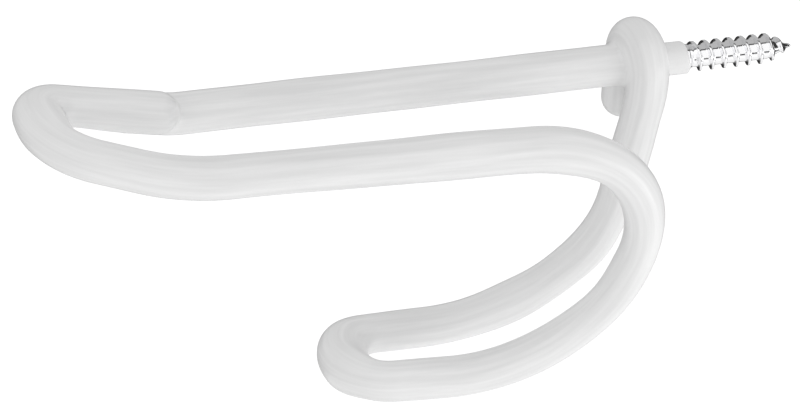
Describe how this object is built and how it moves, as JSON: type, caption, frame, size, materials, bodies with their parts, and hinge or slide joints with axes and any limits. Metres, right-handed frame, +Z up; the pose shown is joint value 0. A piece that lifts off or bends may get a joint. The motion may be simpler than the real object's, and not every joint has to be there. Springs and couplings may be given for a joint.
{
  "type": "coat hook",
  "caption": "Vinyl-dipped wire coat and hat hook that screws into a wall, with an upturned looped arm above and a U-shaped hook below.",
  "frame": {"origin": "on the screw's axis where it meets the wall's face, at the end of the vinyl collar", "axes": "+Y into the wall along the screw towards its point, +Z up, the hook stands out to -Y and its near strand lies towards +X"},
  "size_m": [0.0342, 0.1397, 0.0645],
  "materials": {
    "screw_steel": "bright zinc-plated wood screw thread",
    "wire_steel": "drawn steel wire, hidden under the vinyl",
    "white_vinyl": "smooth dipped vinyl with a soft semi-gloss"
  },
  "bodies": {
    "root": {"screw_rod": "screw_steel", "bent_wire": "wire_steel", "vinyl_coating": "white_vinyl"}
  },
  "joints": []
}
